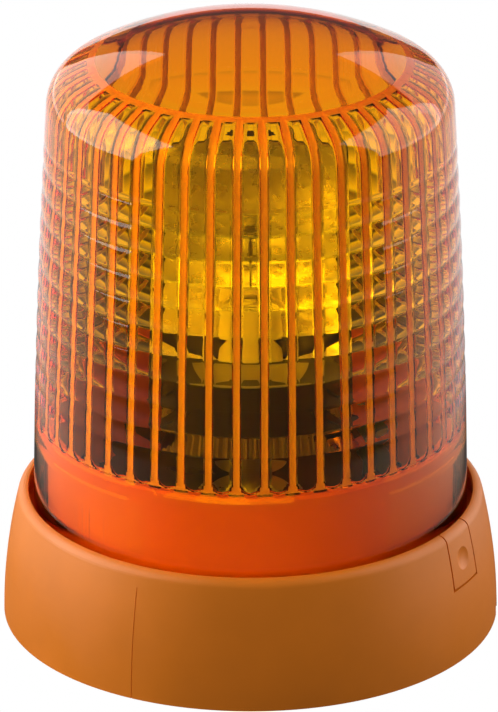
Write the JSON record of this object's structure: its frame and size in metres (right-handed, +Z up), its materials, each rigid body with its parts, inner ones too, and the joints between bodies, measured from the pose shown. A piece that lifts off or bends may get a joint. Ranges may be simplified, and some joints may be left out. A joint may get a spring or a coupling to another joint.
{
  "type": "rotating warning beacon",
  "caption": "Rotating amber warning beacon: ribbed domed lens over a turning mirror and lamp, on a round orange three-bolt base.",
  "frame": {"origin": "centre of the underside of the base, where it meets the mounting surface", "axes": "+Z up along the axis that the mirror turns on, -Y the front that the mirror faces at rest, +X the side of the lens latch"},
  "size_m": [0.1672, 0.1672, 0.2085],
  "materials": {
    "orange_plastic": "fine satin moulding",
    "amber_lens": "clear amber, polished",
    "black_rubber": "matt",
    "brass": "turned",
    "steel": "zinc plated",
    "aluminium": "turned",
    "ferrite": "matt",
    "black_plastic": "satin",
    "natural_plastic": "smooth",
    "mirror_silver": "polished",
    "clear_glass": "clear",
    "ceramic": "glazed",
    "copper": "enamelled wire",
    "zinc": "cast",
    "blue_sleeve": "shrink sleeve",
    "red_insulation": "smooth",
    "blue_insulation": "smooth"
  },
  "bodies": {
    "base": {"base_housing": "orange_plastic", "mounting_gasket": "black_rubber", "mounting_inserts": "brass", "cable_grommet": "black_rubber", "lens_seal": "black_rubber", "latch_pin": "steel", "latch_spring": "steel", "chassis_plate": "aluminium", "chassis_dampers": "black_rubber", "chassis_screws": "steel", "motor_can": "steel", "motor_magnets": "ferrite", "motor_end_cap": "black_plastic", "motor_screws": "steel", "spindle": "aluminium", "spindle_screws": "steel", "thrust_washer": "brass", "retaining_clip": "steel", "bulb_socket": "ceramic", "bulb_cap": "steel", "bulb_glass": "clear_glass", "bulb_filament": "steel", "terminal_block": "natural_plastic", "terminal_screws": "brass", "choke_core": "ferrite", "choke_winding": "copper", "capacitor": "blue_sleeve", "bulb_leads": "red_insulation", "motor_leads": "blue_insulation"},
    "rotor": {"bearing_bush": "brass", "gear_wheel": "natural_plastic", "turntable": "black_plastic", "mirror": "mirror_silver", "mirror_back": "black_plastic", "mirror_screws": "steel", "counterweight": "zinc"},
    "motor_rotor": {"motor_shaft": "steel", "motor_armature": "copper", "pinion": "brass"},
    "lens": {"lens": "amber_lens"},
    "latch": {"latch_tab": "orange_plastic"}
  },
  "joints": [
    {"name": "mirror_spin", "type": "hinge", "parent": "base", "child": "rotor", "pos_m": [0, 0, 0], "axis": [0, 0, 1], "continuous": true},
    {"name": "motor_spin", "type": "hinge", "parent": "base", "child": "motor_rotor", "pos_m": [-0.018, 0.03118, 0], "axis": [0, 0, 1], "continuous": true},
    {"name": "lens_twist", "type": "hinge", "parent": "base", "child": "lens", "pos_m": [0, 0, 0], "axis": [0, 0, 1], "range_deg": [0, 12]},
    {"name": "latch_rock", "type": "hinge", "parent": "base", "child": "latch", "pos_m": [0.06866, -0.03651, 0.0335], "axis": [0.4695, 0.8829, 0], "range_deg": [0, 18], "deforming": ["latch_spring"]}
  ],
  "couplings": [
    {"joint": "motor_spin", "follows": "mirror_spin", "ratio": -5},
    {"joint": "latch_rock", "follows": "lens_twist", "ratio": 1.5}
  ]
}
